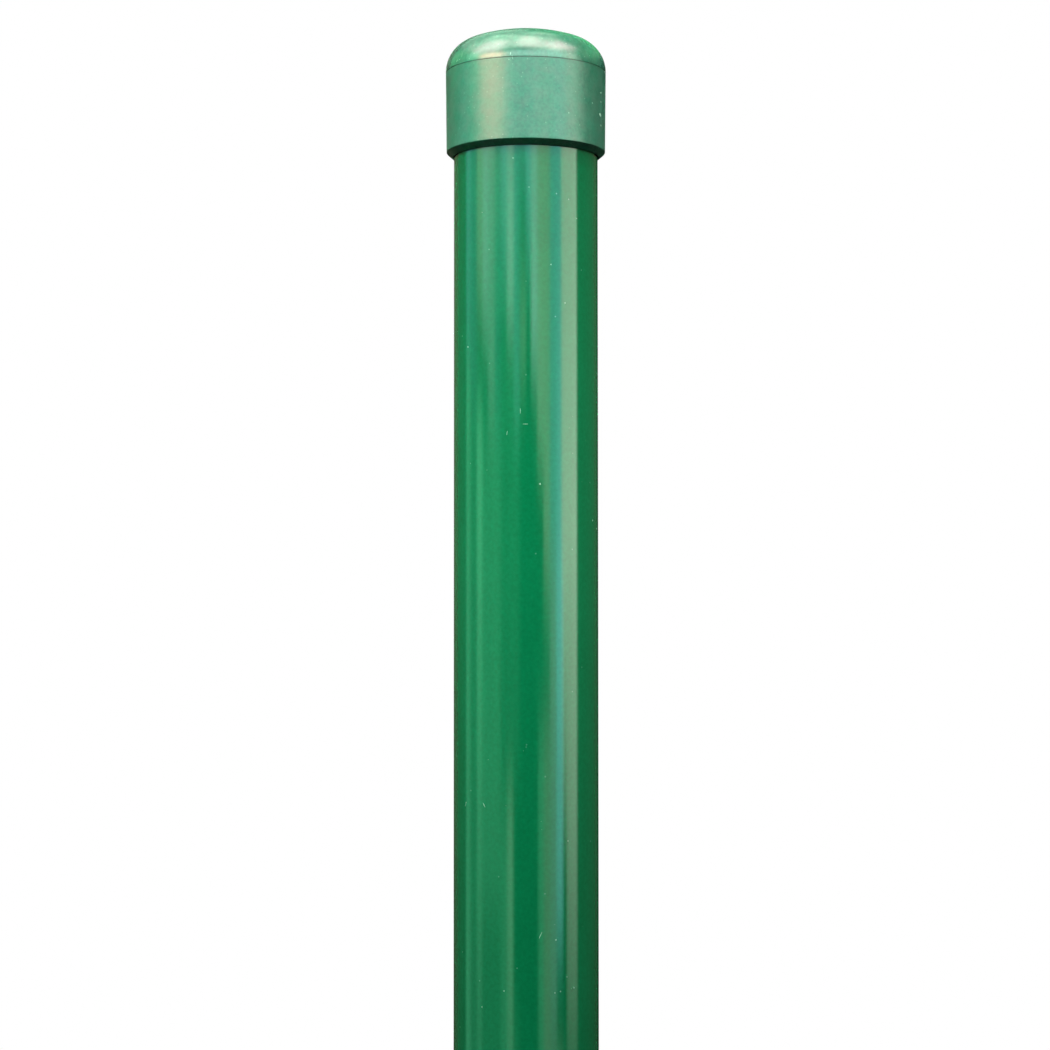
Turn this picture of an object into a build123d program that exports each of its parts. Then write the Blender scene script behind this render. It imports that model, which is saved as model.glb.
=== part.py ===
from build123d import *
import os
from math import cos, radians, sin, sqrt, tan

# Round steel fence post: a coated welded tube, closed at the top by a moulded push-on cap.
# Sizes are in millimetres. +Z runs up the post, and the origin is the centre of the tube's foot.

# Tube
TUBE_DIAMETER = 38.0
TUBE_WALL = 1.5
TUBE_LENGTH = 1500.0
TUBE_EDGE_BREAK = 0.3
WELD_BEAD_WIDTH = 2.6
WELD_BEAD_HEIGHT = 0.2

# Fit between the cap and the tube
CAP_INSERTION = 22.0
CAP_CLEARANCE = 0.25

# Cap, outside
RIM_WALL = 1.73
RIM_LAND = 0.12
RIM_CHAMFER_HEIGHT = 1.51
SKIRT_DRAFT_DEG = 0.57
PARTING_ABOVE_TUBE = 0.55
PARTING_GROOVE_WIDTH = 0.16
PARTING_GROOVE_DEPTH = 0.08
DOME_BAND_HEIGHT = 0.4
DOME_CORNER_RADIUS = 8.5
DOME_CROWN_RADIUS = 46.5

# Cap, inside
CORNER_FLAT_START_DEG = 20.0
CORNER_FLAT_END_DEG = 70.0
RIB_COUNT = 8
RIB_THICKNESS = 1.4
RIB_START_ABOVE_RIM = 3.0
RIB_LEAD_IN = 1.0
STOP_REACH_PAST_BORE = 0.8
GUSSET_LEAN_DEG = 12.0

# Radii and heights that both pieces share
TUBE_RADIUS = TUBE_DIAMETER / 2
TUBE_BORE_RADIUS = TUBE_RADIUS - TUBE_WALL
RIM_Z = TUBE_LENGTH - CAP_INSERTION
CHAMFER_TOP_Z = RIM_Z + RIM_CHAMFER_HEIGHT
PARTING_Z = TUBE_LENGTH + PARTING_ABOVE_TUBE
CORNER_Z = PARTING_Z + DOME_BAND_HEIGHT
CAP_BORE_RADIUS = TUBE_RADIUS + CAP_CLEARANCE
RIM_RADIUS = CAP_BORE_RADIUS + RIM_WALL
PARTING_RADIUS = RIM_RADIUS + (PARTING_Z - CHAMFER_TOP_Z) * tan(radians(SKIRT_DRAFT_DEG))
DOME_WALL = PARTING_RADIUS - CAP_BORE_RADIUS

# The crown arc is centred on the post's axis and meets the corner arc in a common tangent.
CORNER_CENTRE_RADIUS = PARTING_RADIUS - DOME_CORNER_RADIUS
ARC_CENTRE_DISTANCE = DOME_CROWN_RADIUS - DOME_CORNER_RADIUS
CROWN_CENTRE_DROP = sqrt(ARC_CENTRE_DISTANCE**2 - CORNER_CENTRE_RADIUS**2)
CROWN_CENTRE_Z = CORNER_Z - CROWN_CENTRE_DROP
DOME_TOP_Z = CROWN_CENTRE_Z + DOME_CROWN_RADIUS


def tube_section():
    """Ring with the low bead that the seam weld leaves on the bore, at the back of the post."""
    bead_radius = ((WELD_BEAD_WIDTH / 2) ** 2 + WELD_BEAD_HEIGHT**2) / (2 * WELD_BEAD_HEIGHT)
    bead_centre = TUBE_BORE_RADIUS - WELD_BEAD_HEIGHT + bead_radius
    bore = Circle(TUBE_BORE_RADIUS) - Pos(0, bead_centre) * Circle(bead_radius)
    return Circle(TUBE_RADIUS) - bore


def deburring_cone():
    """Cone that breaks the inner edge of a cut end, with its wide side at z = 0."""
    return Cone(
        TUBE_BORE_RADIUS + TUBE_EDGE_BREAK,
        TUBE_BORE_RADIUS,
        TUBE_EDGE_BREAK,
        align=(Align.CENTER, Align.CENTER, Align.MIN),
    )


def make_post_tube():
    """Straight tube, cut square and deburred at both ends."""
    tube = extrude(tube_section(), TUBE_LENGTH)
    foot_rim = tube.faces().sort_by(Axis.Z)[0].outer_wire().edges()
    top_rim = tube.faces().sort_by(Axis.Z)[-1].outer_wire().edges()
    tube = chamfer(foot_rim + top_rim, TUBE_EDGE_BREAK)
    tube -= deburring_cone()
    tube -= Pos(0, 0, TUBE_LENGTH) * Rot(180, 0, 0) * deburring_cone()
    return tube


def domed_solid(wall_points, inset):
    """Revolve of the cap's outline moved in by a wall: its lower wall, rounded corner and crown."""
    corner_start = (PARTING_RADIUS - inset, CORNER_Z)
    reach = (DOME_CROWN_RADIUS - inset) / ARC_CENTRE_DISTANCE
    corner_end = (CORNER_CENTRE_RADIUS * reach, CROWN_CENTRE_Z + CROWN_CENTRE_DROP * reach)
    top = (0, DOME_TOP_Z - inset)
    foot_centre = (0, wall_points[0][1])
    with BuildPart() as solid:
        with BuildSketch(Plane.XZ):
            with BuildLine():
                Polyline(foot_centre, *wall_points, corner_start)
                TangentArc(corner_start, corner_end, tangent=(0, 1))
                TangentArc(top, corner_end, tangent=(1, 0))
                Line(top, foot_centre)
            make_face()
        revolve(axis=Axis.Z)
    return solid.part


def cap_envelope():
    """Outside of the cap: chamfered rim, drafted skirt, parting groove and dome."""
    half_groove = PARTING_GROOVE_WIDTH / 2
    wall_points = [
        (CAP_BORE_RADIUS + RIM_LAND, RIM_Z),
        (RIM_RADIUS, CHAMFER_TOP_Z),
        (PARTING_RADIUS, PARTING_Z - half_groove),
        (PARTING_RADIUS - PARTING_GROOVE_DEPTH, PARTING_Z),
        (PARTING_RADIUS, PARTING_Z + half_groove),
    ]
    return domed_solid(wall_points, 0)


def inner_corner_point(angle_deg):
    """Point on the rounded corner's inner face, at an angle above the horizontal."""
    inner_radius = DOME_CORNER_RADIUS - DOME_WALL
    angle = radians(angle_deg)
    return (CORNER_CENTRE_RADIUS + inner_radius * cos(angle), CORNER_Z + inner_radius * sin(angle))


def cap_cavity():
    """Inside of the cap: a straight bore, sloping flats at the corner and a shallow cone above."""
    with BuildPart() as cavity:
        with BuildSketch(Plane.XZ):
            with BuildLine():
                Polyline(
                    (0, RIM_Z),
                    (CAP_BORE_RADIUS, RIM_Z),
                    (CAP_BORE_RADIUS, CORNER_Z),
                    inner_corner_point(CORNER_FLAT_START_DEG),
                    inner_corner_point(CORNER_FLAT_END_DEG),
                    (0, DOME_TOP_Z - DOME_WALL),
                    close=True,
                )
            make_face()
        revolve(axis=Axis.Z)
    return cavity.part


def grip_rib():
    """One moulded rib: a low fin that grips the tube, widening to a gusset that stops its end."""
    rib_foot = RIM_Z + RIB_START_ABOVE_RIM
    stop_radius = TUBE_BORE_RADIUS - STOP_REACH_PAST_BORE
    gusset_top_radius = stop_radius - (DOME_TOP_Z - TUBE_LENGTH) * tan(radians(GUSSET_LEAN_DEG))
    side_view = Polyline(
        (PARTING_RADIUS, rib_foot),
        (CAP_BORE_RADIUS, rib_foot),
        (TUBE_RADIUS, rib_foot + RIB_LEAD_IN),
        (TUBE_RADIUS, TUBE_LENGTH),
        (stop_radius, TUBE_LENGTH),
        (gusset_top_radius, DOME_TOP_Z),
        (PARTING_RADIUS, DOME_TOP_Z),
        close=True,
    )
    return extrude(Plane.XZ * make_face(side_view), RIB_THICKNESS / 2, both=True)


def make_post_cap():
    """Moulded cap, a nearly even wall with ribs rooted in the middle of it."""
    half_wall = DOME_WALL / 2
    middle_of_wall = domed_solid([(PARTING_RADIUS - half_wall, RIM_Z)], half_wall)
    rib = grip_rib() & middle_of_wall
    ribs = [place * rib for place in PolarLocations(0, RIB_COUNT)]
    return cap_envelope() - cap_cavity() + ribs


os.makedirs("parts", exist_ok=True)
export_step(make_post_tube(), "parts/post_tube.step")
export_step(make_post_cap(), "parts/post_cap.step")
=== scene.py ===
"""Looks of a round fence post: a green coated, welded steel tube with a moulded push-on cap.

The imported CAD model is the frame. Every size is in metres, +Z runs up the post and -Y is its front.
"""

import logging
import math
from dataclasses import dataclass, field
from enum import Enum

import bmesh
import bpy
import numpy as np
from bpy.types import Material, NodeTree, Object
from bpy.types import NodeSocket as Socket
from mathutils import Matrix, Vector


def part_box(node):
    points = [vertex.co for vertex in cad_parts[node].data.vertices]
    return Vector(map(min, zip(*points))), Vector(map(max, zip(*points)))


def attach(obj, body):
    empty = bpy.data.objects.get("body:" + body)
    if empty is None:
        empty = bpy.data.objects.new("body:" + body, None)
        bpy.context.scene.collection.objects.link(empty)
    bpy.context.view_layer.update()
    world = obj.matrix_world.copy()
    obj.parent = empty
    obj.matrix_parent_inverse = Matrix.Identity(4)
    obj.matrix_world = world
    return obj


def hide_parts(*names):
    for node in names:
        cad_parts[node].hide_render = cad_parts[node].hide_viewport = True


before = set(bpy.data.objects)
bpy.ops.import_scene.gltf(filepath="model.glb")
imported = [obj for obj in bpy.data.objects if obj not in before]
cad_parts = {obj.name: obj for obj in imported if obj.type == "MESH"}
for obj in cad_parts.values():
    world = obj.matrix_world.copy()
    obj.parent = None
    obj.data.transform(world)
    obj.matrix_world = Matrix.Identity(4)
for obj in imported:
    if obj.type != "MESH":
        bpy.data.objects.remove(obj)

log = logging.getLogger("fence_post")

MM = 0.001
BODY = "root"

Point = tuple[float, float]
Colour = tuple[float, float, float]


# Node trees


class TreeSketch:
    """A node tree while it is drawn, with its nodes set out from left to right."""

    column_width = 190

    def __init__(self, tree: NodeTree) -> None:
        """Starts on a tree."""
        self.tree = tree
        self.count = 0

    @staticmethod
    def socket(sockets: bpy.types.bpy_prop_collection, key: str | int) -> Socket:
        """Finds a socket."""
        if isinstance(key, int):
            return sockets[key]
        return next(s for s in sockets if s.name == key and s.enabled)

    def feed(self, target: Socket, value: object) -> None:
        """Links a socket into an input, or sets its value."""
        if isinstance(value, Socket):
            self.tree.links.new(value, target)
        else:
            target.default_value = value

    def node(self, kind: str, feeds: dict | None = None, **settings: object) -> bpy.types.Node:
        """Adds a node.

        Args:
            kind: Blender's name for the kind of node.
            feeds: what goes into its inputs, by name or place.
            settings: its own properties.

        Returns:
            The node.
        """
        made = self.tree.nodes.new(kind)
        made.location = (self.count * self.column_width, -(self.count % 4) * 160)
        self.count += 1
        for name, value in settings.items():
            setattr(made, name, value)
        for key, value in (feeds or {}).items():
            self.feed(self.socket(made.inputs, key), value)
        return made

    def out(self, kind: str, feeds: dict | None = None, key: str | int = 0, **settings: object) -> Socket:
        """Adds a node and gives one of its outputs."""
        return self.socket(self.node(kind, feeds, **settings).outputs, key)

    def math(self, operation: str, *values: object) -> Socket:
        """Adds a Math node."""
        return self.out("ShaderNodeMath", dict(enumerate(values)), operation=operation)

    def vector(self, operation: str, *values: object, key: str | int = 0) -> Socket:
        """Adds a Vector Math node."""
        return self.out("ShaderNodeVectorMath", dict(enumerate(values)), key, operation=operation)

    def blend(self, factor: object, first: object, second: object) -> Socket:
        """Mixes two colours."""
        colours = [value if isinstance(value, Socket) else (*value, 1.0) for value in (first, second)]
        return self.out("ShaderNodeMix", {0: factor, 6: colours[0], 7: colours[1]}, 2, data_type="RGBA")

    def span(self, value: object, low: object, high: object, to_low: object = 0.0, to_high: object = 1.0,
             smooth: bool = True) -> Socket:
        """Maps one range of values to another and stops at its ends."""
        return self.out(
            "ShaderNodeMapRange", {0: value, 1: low, 2: high, 3: to_low, 4: to_high},
            interpolation_type="SMOOTHSTEP" if smooth else "LINEAR",
        )

    def group(self, tree: NodeTree, feeds: dict, key: str | int = 0) -> Socket:
        """Places a node group.

        Args:
            tree: the group.
            feeds: what goes into its inputs.
            key: which output.

        Returns:
            The output socket.
        """
        kind = "ShaderNodeGroup" if tree.bl_idname == "ShaderNodeTree" else "GeometryNodeGroup"
        placed = self.node(kind, node_tree=tree)
        for name, value in feeds.items():
            self.feed(self.socket(placed.inputs, name), value)
        return self.socket(placed.outputs, key)

    def place(self) -> Socket:
        """Adds the Object coordinates that every finish reads."""
        return self.out("ShaderNodeTexCoord", key="Object")

    def finish(self, values: dict[str, object], height: Socket) -> None:
        """Ends a material with a Principled shader.

        Args:
            values: the shader's inputs by name.
            height: the skin's relief in metres.
        """
        normal = self.out("ShaderNodeBump", {"Height": height, "Distance": 1.0, "Strength": 1.0})
        shader = self.out("ShaderNodeBsdfPrincipled", {**values, "Normal": normal})
        self.node("ShaderNodeOutputMaterial", {"Surface": shader})


def new_group(
    name: str, kind: str, inputs: dict[str, tuple[str, object]], outputs: dict[str, str],
) -> TreeSketch:
    """Makes a node group with named sockets.

    Args:
        name: the group's name.
        kind: ShaderNodeTree or GeometryNodeTree.
        inputs: each input's socket type and default, by name.
        outputs: each output's socket type, by name.

    Returns:
        The sketch of the group.
    """
    tree = bpy.data.node_groups.new(name, kind)
    for label, (socket_type, default) in inputs.items():
        made = tree.interface.new_socket(label, in_out="INPUT", socket_type=socket_type)
        if default is not None:
            made.default_value = default
    for label, socket_type in outputs.items():
        tree.interface.new_socket(label, in_out="OUTPUT", socket_type=socket_type)
    return TreeSketch(tree)


# Surface effects that several finishes share


class SurfaceEffects:
    """The shader node groups, each built once and placed with a finish's own values."""

    def __init__(self) -> None:
        """Builds the groups."""
        self.cloud = self.build_cloud()
        self.marks = self.build_marks()
        self.relief = self.build_relief()

    @staticmethod
    def build_cloud() -> NodeTree:
        """Soft patches of tone.

        Returns:
            A group whose Tone runs from 0 to 1 about a half.
        """
        sketch = new_group(
            "cloudy_tone", "ShaderNodeTree",
            {"Vector": ("NodeSocketVector", None), "Scale": ("NodeSocketFloat", 60.0),
             "Along Post": ("NodeSocketFloat", 1.0), "Contrast": ("NodeSocketFloat", 2.0),
             "Detail": ("NodeSocketFloat", 3.0)},
            {"Tone": "NodeSocketFloat"},
        )
        given = sketch.node("NodeGroupInput").outputs
        squeeze = sketch.out("ShaderNodeCombineXYZ", {0: 1.0, 1: 1.0, 2: given["Along Post"]})
        place = sketch.vector("MULTIPLY", given["Vector"], squeeze)
        cloud = sketch.out("ShaderNodeTexNoise", {
            "Vector": place, "Scale": given["Scale"], "Detail": given["Detail"],
        })
        centred = sketch.math("SUBTRACT", cloud, 0.5)
        tone = sketch.math("MULTIPLY_ADD", centred, given["Contrast"], 0.5)
        held = sketch.math("MINIMUM", sketch.math("MAXIMUM", tone, 0.0), 1.0)
        sketch.node("NodeGroupOutput", {"Tone": held})
        return sketch.tree

    @staticmethod
    def build_marks() -> NodeTree:
        """Scattered flecks, or short scratches where they are stretched.

        Returns:
            A group whose Mask is 1 inside a mark.
        """
        sketch = new_group(
            "scattered_marks", "ShaderNodeTree",
            {"Vector": ("NodeSocketVector", None), "Scale": ("NodeSocketFloat", 250.0),
             "Along Post": ("NodeSocketFloat", 1.0), "Share": ("NodeSocketFloat", 0.1),
             "Size": ("NodeSocketFloat", 0.15)},
            {"Mask": "NodeSocketFloat"},
        )
        given = sketch.node("NodeGroupInput").outputs
        squeeze = sketch.out("ShaderNodeCombineXYZ", {0: 1.0, 1: 1.0, 2: given["Along Post"]})
        place = sketch.vector("MULTIPLY", given["Vector"], squeeze)
        cells = sketch.node("ShaderNodeTexVoronoi", {"Vector": place, "Scale": given["Scale"]})
        edge = sketch.math("MULTIPLY", given["Size"], 0.6)
        near = sketch.span(cells.outputs["Distance"], edge, given["Size"], 1.0, 0.0)
        drawn = sketch.out("ShaderNodeSeparateColor", {0: cells.outputs["Color"]})
        kept = sketch.math("LESS_THAN", drawn, given["Share"])
        sketch.node("NodeGroupOutput", {"Mask": sketch.math("MULTIPLY", near, kept)})
        return sketch.tree

    @staticmethod
    def build_relief() -> NodeTree:
        """Height of a skin: fine peel, with faint lines drawn along the post.

        Returns:
            A group whose Height is in metres, for a Bump node at a distance of 1.
        """
        sketch = new_group(
            "skin_relief", "ShaderNodeTree",
            {"Vector": ("NodeSocketVector", None), "Peel Scale": ("NodeSocketFloat", 500.0),
             "Peel Depth": ("NodeSocketFloat", 4e-6), "Line Scale": ("NodeSocketFloat", 300.0),
             "Line Depth": ("NodeSocketFloat", 2e-6)},
            {"Height": "NodeSocketFloat"},
        )
        given = sketch.node("NodeGroupInput").outputs
        peel = sketch.out("ShaderNodeTexNoise", {
            "Vector": given["Vector"], "Scale": given["Peel Scale"], "Detail": 2.0,
        })
        drawn_out = sketch.vector("MULTIPLY", given["Vector"], (1.0, 1.0, 0.02))
        lines = sketch.out("ShaderNodeTexNoise", {
            "Vector": drawn_out, "Scale": given["Line Scale"], "Detail": 1.0,
        })
        raised = sketch.math("MULTIPLY", lines, given["Line Depth"])
        height = sketch.math("MULTIPLY_ADD", peel, given["Peel Depth"], raised)
        sketch.node("NodeGroupOutput", {"Height": height})
        return sketch.tree


def new_material(name: str) -> tuple[Material, TreeSketch]:
    """Makes an empty node material.

    Args:
        name: the material's name.

    Returns:
        The material and the sketch of its tree.
    """
    made = bpy.data.materials.new(name)
    made.use_nodes = True
    made.node_tree.nodes.clear()
    return made, TreeSketch(made.node_tree)


@dataclass(frozen=True)
class GlossyCoating:
    """Finish of the tube: a thick glossy green coat with flecks, faint scratches and draw lines."""

    deep: Colour = (0.0010, 0.143, 0.046)
    fresh: Colour = (0.0028, 0.185, 0.065)
    fleck: Colour = (0.10, 0.33, 0.21)
    clear_roughness: float = 0.085
    smeared_roughness: float = 0.15

    def material(self, effects: SurfaceEffects) -> Material:
        """Builds the finish.

        Args:
            effects: the shared node groups.

        Returns:
            The material.
        """
        made, sketch = new_material("glossy_green_coat")
        place = sketch.place()
        broad = sketch.group(effects.cloud, {
            "Vector": place, "Scale": 120.0, "Along Post": 0.35, "Contrast": 1.6,
        })
        fine = sketch.group(effects.cloud, {"Vector": place, "Scale": 1100.0, "Contrast": 2.6, "Detail": 3.0})
        tone = sketch.math("MULTIPLY_ADD", fine, 0.6, sketch.math("MULTIPLY", broad, 0.4))
        green = sketch.blend(tone, self.deep, self.fresh)
        flecks = sketch.group(effects.marks, {"Vector": place, "Scale": 420.0, "Share": 0.05, "Size": 0.11})
        rubs = sketch.group(effects.marks, {
            "Vector": place, "Scale": 700.0, "Along Post": 0.08, "Share": 0.012, "Size": 0.1,
        })
        rubbed = sketch.math("MULTIPLY", rubs, 0.25)
        marked = sketch.math("MAXIMUM", sketch.math("MULTIPLY", flecks, 0.55), rubbed)
        colour = sketch.blend(marked, green, self.fleck)
        smear = sketch.group(effects.cloud, {
            "Vector": place, "Scale": 30.0, "Along Post": 0.5, "Contrast": 3.0,
        })
        gloss = sketch.span(smear, 0.55, 1.0, self.clear_roughness, self.smeared_roughness)
        roughness = sketch.math("MULTIPLY_ADD", marked, 0.3, gloss)
        height = sketch.group(effects.relief, {
            "Vector": place, "Peel Scale": 420.0, "Peel Depth": 5e-6,
            "Line Scale": 260.0, "Line Depth": 4e-6,
        })
        sketch.finish({"Base Color": colour, "Roughness": roughness, "IOR": 1.5}, height)
        return made


@dataclass(frozen=True)
class SatinPlastic:
    """Finish of the cap: mottled satin plastic, glossier on the dome, with painted shade along its parting
    groove.
    """

    parting: float
    deep: Colour = (0.007, 0.098, 0.056)
    pale: Colour = (0.030, 0.180, 0.112)
    veil: Colour = (0.145, 0.165, 0.145)
    chalk: Colour = (0.30, 0.52, 0.38)
    # Painted shade: a near-black colour laid along the parting groove, where shade falls.
    groove_shade: Colour = (0.006, 0.030, 0.018)
    groove_shade_half_width: float = 0.19 * MM
    smooth_roughness: float = 0.285
    worn_roughness: float = 0.35
    dome_roughness: float = 0.235

    def material(self, effects: SurfaceEffects) -> Material:
        """Builds the finish.

        Args:
            effects: the shared node groups.

        Returns:
            The material.
        """
        made, sketch = new_material("satin_plastic")
        place = sketch.place()
        grain = sketch.group(effects.cloud, {
            "Vector": place, "Scale": 1300.0, "Contrast": 2.8, "Detail": 3.0,
        })
        blotch = sketch.group(effects.cloud, {
            "Vector": place, "Scale": 260.0, "Contrast": 2.2, "Detail": 4.0,
        })
        tone = sketch.math("MULTIPLY_ADD", grain, 0.6, sketch.math("MULTIPLY", blotch, 0.4))
        green = sketch.blend(tone, self.deep, self.pale)
        flecks = sketch.group(effects.marks, {"Vector": place, "Scale": 800.0, "Share": 0.36, "Size": 0.17})
        rubs = sketch.group(effects.marks, {
            "Vector": place, "Scale": 420.0, "Along Post": 0.15, "Share": 0.06, "Size": 0.12,
        })
        rubbed = sketch.math("MULTIPLY", rubs, 0.2)
        marked = sketch.math("MAXIMUM", sketch.math("MULTIPLY", flecks, 0.32), rubbed)
        haze = sketch.group(effects.cloud, {"Vector": place, "Scale": 420.0, "Contrast": 3.2, "Detail": 5.0})
        veiled = sketch.blend(sketch.math("MULTIPLY", haze, 0.24), green, self.veil)
        speckled = sketch.blend(marked, veiled, self.chalk)
        axes = sketch.node("ShaderNodeSeparateXYZ", {0: place})
        above = sketch.math("SUBTRACT", axes.outputs["Z"], self.parting)
        beside = sketch.math("ABSOLUTE", above)
        # Painted shade: the colour darkens towards near-black within the half width on either side of the
        # parting groove.
        groove_shaded = sketch.span(beside, self.groove_shade_half_width * 0.4, self.groove_shade_half_width, 0.75, 0.0)
        colour = sketch.blend(groove_shaded, speckled, self.groove_shade)
        worn = sketch.span(tone, 0.25, 0.75, self.smooth_roughness, self.worn_roughness)
        on_dome = sketch.math("GREATER_THAN", above, 0.0)
        glossier = sketch.math("SUBTRACT", self.dome_roughness, worn)
        roughness = sketch.math("MULTIPLY_ADD", glossier, on_dome, worn)
        height = sketch.group(effects.relief, {
            "Vector": place, "Peel Scale": 1300.0, "Peel Depth": 9e-6,
            "Line Scale": 500.0, "Line Depth": 3e-6,
        })
        sketch.finish({"Base Color": colour, "Roughness": roughness, "IOR": 1.5}, height)
        return made


@dataclass(frozen=True)
class ZincSkin:
    """Finish of the bore and the cut ends: spangled zinc, darker along the weld."""

    bright: Colour = (0.62, 0.64, 0.65)
    dull: Colour = (0.36, 0.38, 0.40)
    burnt: Colour = (0.16, 0.13, 0.11)
    weld_half_width: float = 2.4 * MM

    def material(self, effects: SurfaceEffects) -> Material:
        """Builds the finish.

        Args:
            effects: the shared node groups.

        Returns:
            The material.
        """
        made, sketch = new_material("zinc_skin")
        place = sketch.place()
        cells = sketch.node("ShaderNodeTexVoronoi", {"Vector": place, "Scale": 260.0})
        facet = sketch.out("ShaderNodeSeparateColor", {0: cells.outputs["Color"]})
        bloom = sketch.group(effects.cloud, {
            "Vector": place, "Scale": 80.0, "Along Post": 0.4, "Contrast": 2.4,
        })
        tone = sketch.math("MULTIPLY_ADD", facet, 0.5, sketch.math("MULTIPLY", bloom, 0.5))
        metal = sketch.blend(tone, self.dull, self.bright)
        axes = sketch.node("ShaderNodeSeparateXYZ", {0: place})
        beside = sketch.math("ABSOLUTE", axes.outputs["X"])
        stripe = sketch.span(beside, self.weld_half_width * 0.5, self.weld_half_width, 1.0, 0.0)
        behind = sketch.math("GREATER_THAN", axes.outputs["Y"], 0.0)
        heated = sketch.math("MULTIPLY", sketch.math("MULTIPLY", stripe, behind), 0.7)
        colour = sketch.blend(heated, metal, self.burnt)
        roughness = sketch.span(tone, 0.0, 1.0, 0.5, 0.28)
        height = sketch.group(effects.relief, {
            "Vector": place, "Peel Scale": 700.0, "Peel Depth": 1.2e-5,
            "Line Scale": 900.0, "Line Depth": 6e-6,
        })
        sketch.finish({"Base Color": colour, "Metallic": 1.0, "Roughness": roughness}, height)
        return made


@dataclass(frozen=True)
class ChalkMark:
    """Finish of the nibs, scratches and scuffs that stand on a green skin."""

    name: str
    light: Colour
    dark: Colour

    def material(self, effects: SurfaceEffects) -> Material:
        """Builds the finish.

        Args:
            effects: the shared node groups.

        Returns:
            The material.
        """
        made, sketch = new_material(self.name)
        place = sketch.place()
        tone = sketch.group(effects.cloud, {"Vector": place, "Scale": 2500.0, "Contrast": 2.5})
        colour = sketch.blend(tone, self.dark, self.light)
        height = sketch.group(effects.relief, {"Vector": place, "Peel Scale": 4000.0, "Peel Depth": 8e-6})
        roughness = sketch.span(tone, 0.0, 1.0, 0.35, 0.5)
        sketch.finish({"Base Color": colour, "Roughness": roughness}, height)
        return made


# Outlines and meshes


def rounded_outline(corners: list[tuple[float, float, float]], steps: int, guard: float) -> list[Point]:
    """Rounds an outline's corners, with guard points beside them that keep the straight runs' shading flat.

    Args:
        corners: radius from the axis, height and rounding of each corner.
        steps: straight steps in a rounding.
        guard: distance from a rounding to its guard point.

    Returns:
        The outline's points.
    """
    points = [Vector(corner[:2]) for corner in corners]
    outline = [tuple(points[0])]
    for index in range(1, len(points) - 1):
        rounding = corners[index][2]
        here = points[index]
        if rounding <= 0:
            outline.append(tuple(here))
            continue
        back = (points[index - 1] - here).normalized()
        ahead = (points[index + 1] - here).normalized()
        half = back.angle(ahead) / 2
        reach = rounding / math.tan(half)
        centre = here + (back + ahead).normalized() * (rounding / math.sin(half))
        start = here + back * reach
        end = here + ahead * reach
        outline.append(tuple(start + back * guard))
        for step in range(steps + 1):
            arm = (start - centre).slerp(end - centre, step / steps)
            outline.append(tuple(centre + arm * rounding))
        outline.append(tuple(end + ahead * guard))
    outline.append(tuple(points[-1]))
    return outline


def evenly(low: float, high: float, spacing: float) -> list[float]:
    """Heights between two ends, neither of them included."""
    count = max(1, math.ceil(abs(high - low) / spacing))
    return [low + (high - low) * step / count for step in range(1, count)]


def outline_object(name: str, outline: list[Point]) -> Object:
    """Makes an object whose mesh is an outline of edges in the XZ plane.

    Args:
        name: the object's name.
        outline: radius and height of each point, down the outside and back up the inside.

    Returns:
        The object.
    """
    mesh = bpy.data.meshes.new(name)
    mesh.from_pydata([(radius, 0.0, height) for radius, height in outline],
                     [(index, index + 1) for index in range(len(outline) - 1)], [])
    return link_object(name, mesh)


def link_object(name: str, mesh: bpy.types.Mesh) -> Object:
    """Puts a mesh into the scene.

    Args:
        name: the object's name.
        mesh: its mesh, with its place in it.

    Returns:
        The object.
    """
    made = bpy.data.objects.new(name, mesh)
    bpy.context.scene.collection.objects.link(made)
    return made


def shape_by_tree(target: Object, tree: NodeTree, values: dict[str, object]) -> None:
    """Runs a Geometry Nodes tree on an object and keeps the result as its plain mesh.

    Args:
        target: the object, whose own mesh goes into the tree.
        tree: the tree.
        values: the tree's inputs by name.
    """
    modifier = target.modifiers.new(tree.name, "NODES")
    modifier.node_group = tree
    identifiers = {
        item.name: item.identifier
        for item in tree.interface.items_tree
        if item.item_type == "SOCKET" and item.in_out == "INPUT"
    }
    for name, value in values.items():
        modifier[identifiers[name]] = value
    graph = bpy.context.evaluated_depsgraph_get()
    shaped = bpy.data.meshes.new_from_object(target.evaluated_get(graph), depsgraph=graph)
    target.modifiers.clear()
    target.data = shaped
    shaped.name = target.name
    drop_empty_slots(shaped)


def drop_empty_slots(mesh: bpy.types.Mesh) -> None:
    """Removes the slots that hold no material, and keeps each face on its own.

    Args:
        mesh: the mesh to clear of them.
    """
    kept = [index for index, material in enumerate(mesh.materials) if material]
    faces = np.empty(len(mesh.polygons), dtype=np.int32)
    mesh.polygons.foreach_get("material_index", faces)
    order = np.zeros(len(mesh.materials), dtype=np.int32)
    order[kept] = np.arange(len(kept))
    materials = [mesh.materials[index] for index in kept]
    mesh.materials.clear()
    for material in materials:
        mesh.materials.append(material)
    mesh.polygons.foreach_set("material_index", order[faces])


def drop_object(target: Object) -> None:
    """Removes a helper object and its mesh.

    Args:
        target: the helper.
    """
    mesh = target.data
    bpy.data.objects.remove(target)
    bpy.data.meshes.remove(mesh)


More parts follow.
